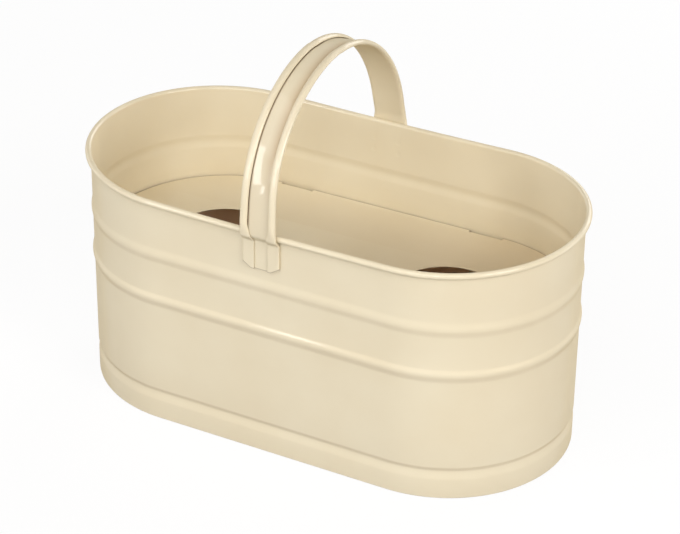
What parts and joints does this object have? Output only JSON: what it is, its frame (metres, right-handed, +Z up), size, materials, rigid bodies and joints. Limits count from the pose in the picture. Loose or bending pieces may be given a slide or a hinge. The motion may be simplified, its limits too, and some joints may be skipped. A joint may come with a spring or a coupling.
{
  "type": "wine bottle basket",
  "caption": "Oval painted sheet-steel carrying tub with a wired rim, stiffening beads, a fixed strap handle and a lift-out rack that holds wine bottles upright.",
  "frame": {"origin": "middle of the tub's plan on the surface that it stands on", "axes": "+X along the tub to the right end, +Y to the back, +Z up"},
  "size_m": [0.404, 0.2132, 0.2975],
  "materials": {
    "cream_paint": "glossy",
    "bare_wire": "satin"
  },
  "bodies": {
    "tub": {"front_wall": "cream_paint", "back_wall": "cream_paint", "rim_wire": "bare_wire", "floor_panel": "cream_paint", "handle_strap": "cream_paint"},
    "rack": {"bottle_rack": "cream_paint"}
  },
  "joints": [
    {"name": "rack_lift", "type": "slide", "parent": "tub", "child": "rack", "axis": [0, 0, 1], "range_m": [0, 0.1]}
  ]
}
